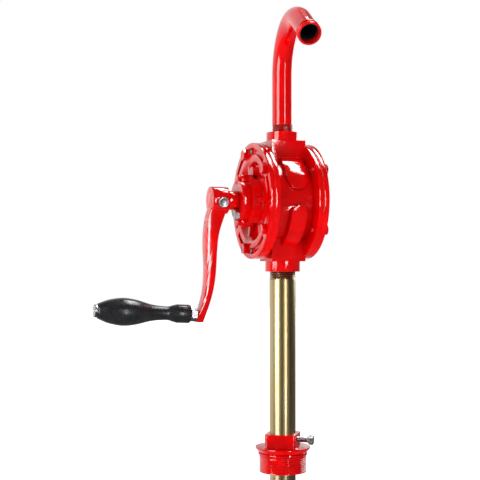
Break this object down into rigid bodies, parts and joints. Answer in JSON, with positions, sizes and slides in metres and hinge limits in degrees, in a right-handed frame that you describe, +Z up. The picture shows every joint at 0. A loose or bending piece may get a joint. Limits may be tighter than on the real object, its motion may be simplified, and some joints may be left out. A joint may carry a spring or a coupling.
{
  "type": "rotary drum pump",
  "caption": "Hand-cranked rotary vane pump on a suction tube, with a threaded drum adapter, a swan-neck spout and an S-shaped crank with a turning grip.",
  "frame": {"origin": "where the suction tube's axis meets the underside of the adapter's flange, which rests on the drum top", "axes": "+Z up along the suction tube, X along the shaft with the crank at -X, the spout reaching towards -Y"},
  "size_m": [0.2898, 0.2167, 1.3427],
  "materials": {
    "red_paint": "gloss enamel on cast iron and steel",
    "zinc_plate": "clear zinc plate",
    "yellow_zinc_tube": "yellow zinc plate on steel pipe",
    "grip_plastic": "gloss",
    "black_plastic": "moulded",
    "vane_plastic": "machined acetal",
    "rotor_iron": "machined",
    "shaft_steel": "turned",
    "spring_steel": "blued strip",
    "bronze": "machined bronze",
    "gasket": "pressed sheet",
    "packing": "braided graphite cord"
  },
  "bodies": {
    "adapter": {"bung_adapter": "red_paint"},
    "clamp_screw": {"clamp_screw": "zinc_plate"},
    "pump": {"housing": "red_paint", "front_cover": "red_paint", "rear_cover": "red_paint", "front_gasket": "gasket", "rear_gasket": "gasket", "front_cover_bolts": "red_paint", "front_cover_dowels": "zinc_plate", "rear_cover_bolts": "red_paint", "front_bush": "bronze", "rear_bush": "bronze", "packing_ring_1": "packing", "packing_ring_2": "packing", "packing_ring_3": "packing", "gland_cap": "red_paint", "gland_bolts": "red_paint", "gland_screw": "zinc_plate", "suction_tube_upper": "yellow_zinc_tube", "upper_coupling": "yellow_zinc_tube", "suction_tube_middle": "yellow_zinc_tube", "lower_coupling": "yellow_zinc_tube", "suction_tube_lower": "yellow_zinc_tube", "foot_strainer": "black_plastic"},
    "crank": {"drive_shaft": "shaft_steel", "rotor": "rotor_iron", "rotor_key": "shaft_steel", "vane_1": "vane_plastic", "vane_2": "vane_plastic", "vane_3": "vane_plastic", "vane_4": "vane_plastic", "vane_spring_1": "spring_steel", "vane_spring_2": "spring_steel", "vane_spring_3": "spring_steel", "vane_spring_4": "spring_steel", "spacer_sleeve": "red_paint", "crank_arm": "red_paint", "crank_set_bolt": "zinc_plate", "handle_spindle": "zinc_plate", "spindle_nut": "zinc_plate"},
    "grip": {"grip": "grip_plastic"},
    "spout": {"spout_pipe": "red_paint", "spout_collar": "red_paint"}
  },
  "joints": [
    {"name": "pump_height", "type": "slide", "parent": "adapter", "child": "pump", "axis": [0, 0, 1], "range_m": [-0.15, 0.04]},
    {"name": "clamp_screw_turn", "type": "hinge", "parent": "adapter", "child": "clamp_screw", "pos_m": [0.0253, -0.01612, 0.0195], "axis": [0.8434, -0.5373, 0], "range_deg": [0, 360]},
    {"name": "crank_spin", "type": "hinge", "parent": "pump", "child": "crank", "pos_m": [-0.08, 0, 0.328], "axis": [-1, 0, 0], "continuous": true},
    {"name": "grip_spin", "type": "hinge", "parent": "crank", "child": "grip", "pos_m": [-0.117, 0, 0.183], "axis": [-0.9989, 0, 0.0471], "continuous": true},
    {"name": "spout_swivel", "type": "hinge", "parent": "pump", "child": "spout", "pos_m": [0, 0, 0.41], "axis": [0, 0, 1], "range_deg": [-180, 180]}
  ]
}
